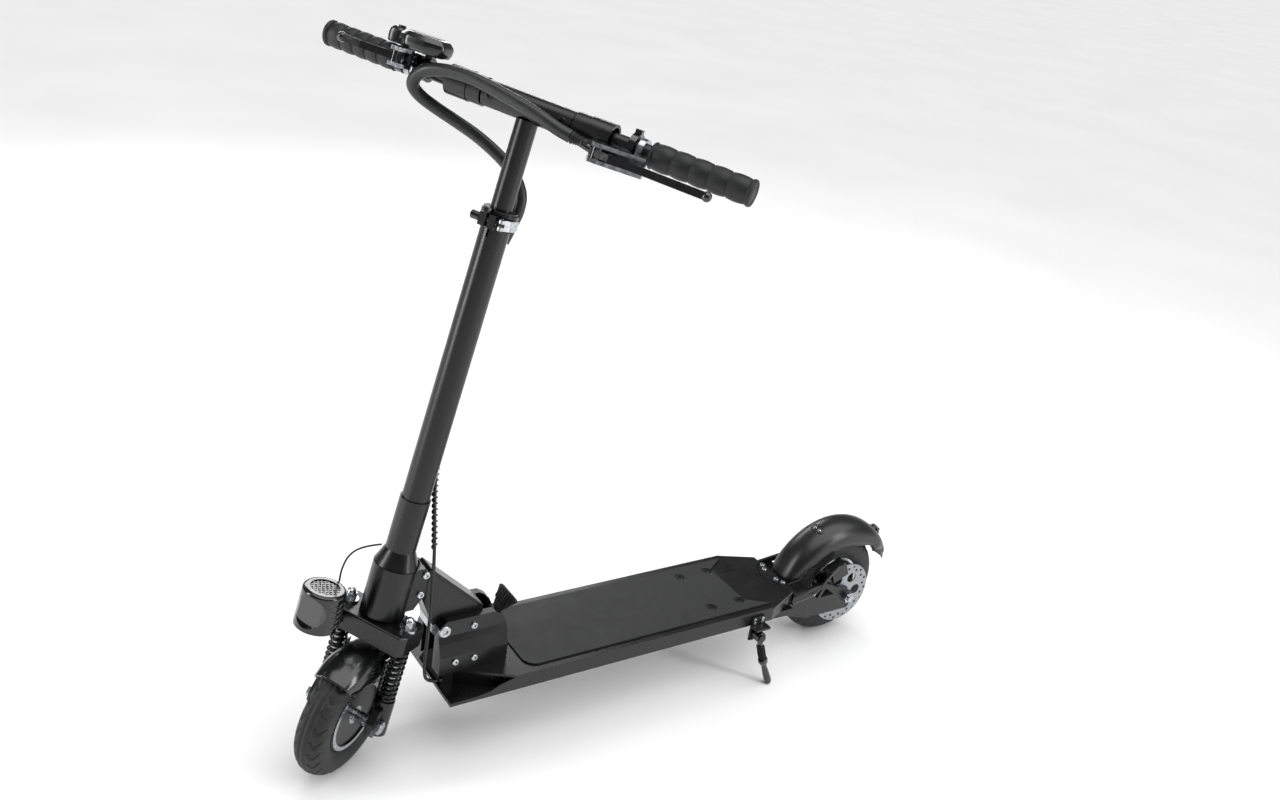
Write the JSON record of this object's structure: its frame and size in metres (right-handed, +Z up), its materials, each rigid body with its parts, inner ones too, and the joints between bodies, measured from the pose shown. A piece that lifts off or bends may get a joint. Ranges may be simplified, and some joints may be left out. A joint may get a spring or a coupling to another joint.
{
  "type": "electric kick scooter",
  "caption": "Folding electric kick scooter with small tyred wheels, a low deck, a raked telescopic stem, folding grips, a sprung fork, a rear disc brake and a side stand.",
  "frame": {"origin": "middle of the overall box at the ground, with the steering turned as it is at rest", "axes": "+X forward, +Y to the rider's left, +Z up"},
  "size_m": [1.1682, 0.5332, 1.0427],
  "materials": {
    "satin_black_tube": "satin powder coat",
    "gloss_black_plastic": "gloss",
    "tyre_rubber": "matte",
    "grip_rubber": "matte",
    "cable_jacket": "satin",
    "bright_steel": "polished",
    "spring_steel": "black oxide",
    "rotor_steel": "brushed",
    "cast_alloy": "satin",
    "battery_wrap": "matte",
    "key_plastic": "satin",
    "lamp_glass": "clear"
  },
  "bodies": {
    "deck": {"deck_plate": "satin_black_tube", "deck_mat": "grip_rubber", "deck_tray": "satin_black_tube", "nose_plate": "satin_black_tube", "battery_pack": "battery_wrap", "controller_box": "battery_wrap", "frame_screws": "bright_steel", "fold_housing": "satin_black_tube", "fold_pins": "bright_steel", "rear_frame": "satin_black_tube", "rear_axle": "bright_steel", "rear_fender": "satin_black_tube", "brake_caliper": "cast_alloy", "stand_bracket": "satin_black_tube", "main_cable": "cable_jacket", "rear_brake_cable": "cable_jacket"},
    "rear_wheel": {"rear_tyre": "tyre_rubber", "rear_rim": "cast_alloy", "brake_rotor": "rotor_steel"},
    "stand": {"stand_leg": "satin_black_tube"},
    "pedal": {"latch_pedal": "grip_rubber"},
    "neck": {"neck_box": "satin_black_tube", "head_housing": "satin_black_tube", "head_fittings": "bright_steel"},
    "steering": {"fork_crown": "satin_black_tube", "stanchions": "bright_steel", "fork_springs": "spring_steel", "stem_sleeve": "satin_black_tube", "outer_tube": "satin_black_tube", "clamp_ring": "satin_black_tube", "clamp_bolt": "gloss_black_plastic", "lamp_housing": "gloss_black_plastic", "lamp_lens": "lamp_glass", "lamp_wire": "cable_jacket"},
    "fork_slider": {"fork_lower_left": "satin_black_tube", "fork_lower_right": "satin_black_tube", "front_axle": "bright_steel", "front_fender": "gloss_black_plastic"},
    "front_wheel": {"front_tyre": "tyre_rubber", "hub_motor_shell": "cast_alloy"},
    "clamp_handle": {"clamp_lever": "bright_steel"},
    "bar": {"inner_tube": "satin_black_tube", "bar_middle": "satin_black_tube", "sheath_left": "cable_jacket", "sheath_right": "cable_jacket", "sheath_down": "cable_jacket"},
    "left_arm": {"bar_arm_left": "satin_black_tube", "grip_left": "grip_rubber", "brake_perch_left": "cast_alloy"},
    "right_arm": {"bar_arm_right": "satin_black_tube", "grip_right": "grip_rubber", "brake_perch_right": "cast_alloy", "display_case": "gloss_black_plastic", "switch_box": "gloss_black_plastic"},
    "left_collar": {"lock_collar_left": "satin_black_tube"},
    "right_collar": {"lock_collar_right": "satin_black_tube"},
    "left_lever": {"brake_lever_left": "cast_alloy"},
    "right_lever": {"brake_lever_right": "cast_alloy"},
    "thumb_lever": {"throttle_lever": "bright_steel"},
    "horn_key": {"horn_button": "key_plastic"}
  },
  "joints": [
    {"name": "stem_fold", "type": "hinge", "parent": "deck", "child": "neck", "pos_m": [0.35476, 0, 0.214], "axis": [0, -1, 0], "range_deg": [0, 78], "deforming": ["main_cable"]},
    {"name": "steer", "type": "hinge", "parent": "neck", "child": "steering", "pos_m": [0.47202, 0, 0.10125], "axis": [-0.2047, 0, 0.9788], "range_deg": [-78, 11], "deforming": ["main_cable"]},
    {"name": "fork_travel", "type": "slide", "parent": "steering", "child": "fork_slider", "axis": [-0.2047, 0, 0.9788], "range_m": [0, 0.012], "stiffness_N_per_m": 60000, "springref_m": -0.0005, "deforming": ["fork_springs"]},
    {"name": "front_wheel_spin", "type": "hinge", "parent": "fork_slider", "child": "front_wheel", "pos_m": [0.49347, 0.01401, 0.10037], "axis": [-0.5465, 0.8296, -0.1143], "continuous": true},
    {"name": "rear_wheel_spin", "type": "hinge", "parent": "deck", "child": "rear_wheel", "pos_m": [-0.45424, 0, 0.1], "axis": [0, 1, 0], "continuous": true},
    {"name": "stand_swing", "type": "hinge", "parent": "deck", "child": "stand", "pos_m": [-0.21724, 0.097, 0.098], "axis": [0, 1, 0], "range_deg": [0, 76]},
    {"name": "pedal_press", "type": "hinge", "parent": "deck", "child": "pedal", "pos_m": [0.25576, 0, 0.205], "axis": [0, -1, 0], "range_deg": [0, 14], "stiffness_Nm_per_rad": 6, "springref_deg": -5.73},
    {"name": "bar_height", "type": "slide", "parent": "steering", "child": "bar", "axis": [-0.2047, 0, 0.9788], "range_m": [-0.095, 0], "deforming": ["sheath_down"]},
    {"name": "clamp_release", "type": "hinge", "parent": "steering", "child": "clamp_handle", "pos_m": [0.33161, 0.03134, 0.83403], "axis": [-0.2047, 0, 0.9788], "range_deg": [-150, 0]},
    {"name": "left_arm_fold", "type": "hinge", "parent": "bar", "child": "left_arm", "pos_m": [0.26081, 0.04314, 0.9695], "axis": [-0.8121, -0.5583, -0.1698], "range_deg": [0, 90], "deforming": ["sheath_left"]},
    {"name": "right_arm_fold", "type": "hinge", "parent": "bar", "child": "right_arm", "pos_m": [0.31765, -0.04314, 0.98139], "axis": [0.8121, 0.5583, 0.1698], "range_deg": [0, 90], "deforming": ["sheath_right"]},
    {"name": "left_collar_slide", "type": "slide", "parent": "left_arm", "child": "left_collar", "axis": [-0.5465, 0.8296, -0.1143], "range_m": [0, 0.0165]},
    {"name": "right_collar_slide", "type": "slide", "parent": "right_arm", "child": "right_collar", "axis": [0.5465, -0.8296, 0.1143], "range_m": [0, 0.0165]},
    {"name": "left_brake", "type": "hinge", "parent": "left_arm", "child": "left_lever", "pos_m": [0.25885, 0.12134, 0.96909], "axis": [-0.2047, 0, 0.9788], "range_deg": [0, 9], "stiffness_Nm_per_rad": 2, "springref_deg": -5.73},
    {"name": "right_brake", "type": "hinge", "parent": "right_arm", "child": "right_lever", "pos_m": [0.42171, -0.12588, 1.00314], "axis": [-0.2047, 0, 0.9788], "range_deg": [-9, 0], "stiffness_Nm_per_rad": 2, "springref_deg": 5.73},
    {"name": "throttle", "type": "hinge", "parent": "right_arm", "child": "thumb_lever", "pos_m": [0.38214, -0.14104, 0.99487], "axis": [-0.5465, 0.8296, -0.1143], "range_deg": [0, 17], "stiffness_Nm_per_rad": 0.3, "springref_deg": -11.46},
    {"name": "horn_press", "type": "slide", "parent": "right_arm", "child": "horn_key", "axis": [0.2047, 0, -0.9788], "range_m": [0, 0.0015], "stiffness_N_per_m": 400, "springref_m": -0.001}
  ],
  "couplings": [
    {"joint": "left_collar_slide", "follows": "left_arm_fold", "m_per_rad": 0.0105},
    {"joint": "right_collar_slide", "follows": "right_arm_fold", "m_per_rad": 0.0105}
  ]
}
